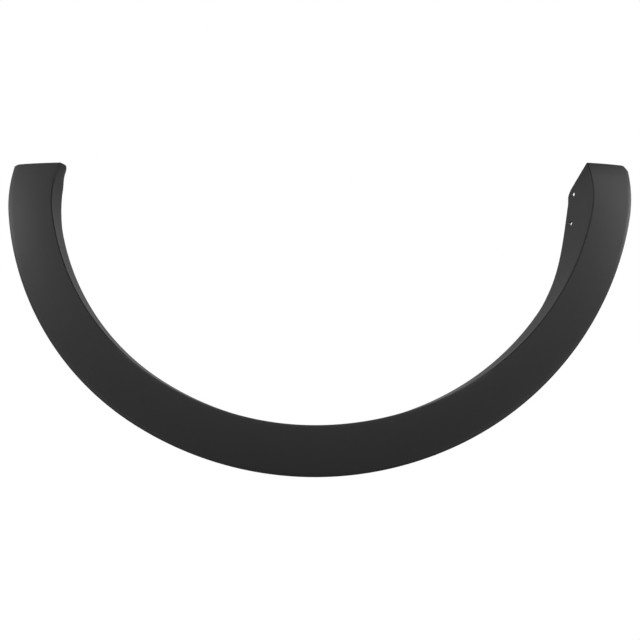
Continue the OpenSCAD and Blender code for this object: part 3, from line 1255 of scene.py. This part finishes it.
@dataclass(frozen=True)
class Studio:
    """The pale floor, the soft boxes and the camera."""

    floor_size: float = 30.0
    floor_colour: tuple[float, float, float] = (0.86, 0.86, 0.86)
    floor_roughness: float = 0.9
    floor_glow: float = 0.41
    surroundings: float = 0.177
    camera_place: tuple[float, float, float] = (-7.1 * MM, -2.0, -7.1 * MM)
    camera_aim: tuple[float, float, float] = (-7.1 * MM, 0.0, -218.6 * MM)
    camera_angle: float = math.radians(25.29)
    sensor_w: float = 36.0
    lamps: tuple[SoftBox, ...] = (
        SoftBox("softbox_left", (1.7, -0.6, 1.0), (0, 0, -0.3), (1.4, 1.4), 4.3),
        SoftBox("softbox_right", (-1.7, -0.6, 1.0), (0, 0, -0.3), (1.4, 1.4), 5.7),
        SoftBox("softbox_back", (0.5, 2.0, 0.9), (0, 0, -0.22), (2.0, 1.4), 5.0),
        SoftBox("strip_rim_left", (0.95, -0.10, -0.42), (0.39, 0, -0.38), (0.4, 0.12), 0.89),
        SoftBox("strip_rim_right", (-0.95, 0.05, -0.425), (-0.41, 0, -0.38), (0.4, 0.1), 1.37),
        SoftBox("strip_low_left", (0.75, -0.25, -0.43), (0.39, 0, -0.38), (0.3, 0.1), 0.59),
        SoftBox("strip_low_right", (-0.75, -0.25, -0.43), (-0.41, 0, -0.38), (0.3, 0.1), 0.475),
        SoftBox("table_right", (-0.46, -0.12, -0.4395), (-0.46, -0.12, 0.56), (0.2, 0.16), 0.096),
    )

    def build(self) -> None:
        """Builds the studio."""
        self.lay_floor()
        self.surround()
        for lamp in self.lamps:
            lamp.build()
            LOG.info("lamp %s: %.2f W", lamp.name, lamp.power)
        self.set_camera()
        bpy.context.scene.view_settings.view_transform = "Standard"

    def lay_floor(self) -> None:
        """Lays the floor under the ends of the arch: pale, lit from all over, and white to the camera."""
        half, height = self.floor_size / 2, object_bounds()[0].z
        mesh = bpy.data.meshes.new("studio_floor")
        corners = [(x, y, height) for x, y in ((-half, -half), (half, -half), (half, half), (-half, half))]
        mesh.from_pydata(corners, [], [(0, 1, 2, 3)])
        floor = link(bpy.data.objects.new("studio_floor", mesh))
        material = bpy.data.materials.new("pale_floor")
        material.use_nodes = True
        nodes = material.node_tree.nodes
        shader = nodes["Principled BSDF"]
        shader.inputs["Base Color"].default_value = (*self.floor_colour, 1.0)
        shader.inputs["Roughness"].default_value = self.floor_roughness
        shader.inputs["Specular IOR Level"].default_value = 0.0
        shader.inputs["Emission Color"].default_value = WHITE
        shader.inputs["Emission Strength"].default_value = self.floor_glow
        self.white_to_camera(material.node_tree, "ShaderNodeEmission", shader.outputs["BSDF"],
                             nodes["Material Output"].inputs["Surface"])
        floor.data.materials.append(material)
        floor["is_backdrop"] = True

    def surround(self) -> None:
        """Sets the faint even light from all round, with a white background behind the floor's edge."""
        world = bpy.data.worlds.new("studio")
        bpy.context.scene.world = world
        world.use_nodes = True
        nodes = world.node_tree.nodes
        light = nodes["Background"]
        light.inputs["Strength"].default_value = self.surroundings
        light.inputs["Color"].default_value = WHITE
        self.white_to_camera(world.node_tree, "ShaderNodeBackground", light.outputs["Background"],
                             nodes["World Output"].inputs["Surface"])

    @staticmethod
    def white_to_camera(tree: bpy.types.NodeTree, glow: str, seen_by_rest: bpy.types.NodeSocket,
                        surface: bpy.types.NodeSocket) -> None:
        """Makes a shader plain white where the camera sees it straight, and leaves its light as it is.

        Args:
            tree: The shader's node tree.
            glow: The kind of node that glows white.
            seen_by_rest: The shader that lights and mirrors in everything else.
            surface: The output's socket.
        """
        white = tree.nodes.new(glow)
        white.inputs["Color"].default_value = WHITE
        chosen = tree.nodes.new("ShaderNodeMixShader")
        tree.links.new(tree.nodes.new("ShaderNodeLightPath").outputs["Is Camera Ray"], chosen.inputs["Fac"])
        tree.links.new(seen_by_rest, chosen.inputs[1])
        tree.links.new(white.outputs[0], chosen.inputs[2])
        tree.links.new(chosen.outputs["Shader"], surface)

    def set_camera(self) -> None:
        """Sets the camera face-on to the arch and rolled half a turn, as the trim lies in the photograph."""
        data = bpy.data.cameras.new("camera")
        data.sensor_width = self.sensor_w
        data.angle = self.camera_angle
        camera = link(bpy.data.objects.new("camera", data))
        forward = (Vector(self.camera_aim) - Vector(self.camera_place)).normalized()
        right = Vector((-1.0, 0.0, 0.0))
        up = right.cross(forward)
        turn = Matrix((right, up, -forward)).transposed()
        camera.matrix_world = Matrix.Translation(self.camera_place) @ turn.to_4x4()
        bpy.context.scene.camera = camera


def main() -> None:
    """Builds the moulding and the studio."""
    logging.basicConfig(level=logging.INFO, format="%(name)s: %(message)s")
    piece = TrimMoulding().build()
    LOG.info("moulding: %d vertices, %d faces", len(piece.data.vertices), len(piece.data.polygons))
    Studio().build()


if __name__ == "__main__":
    main()
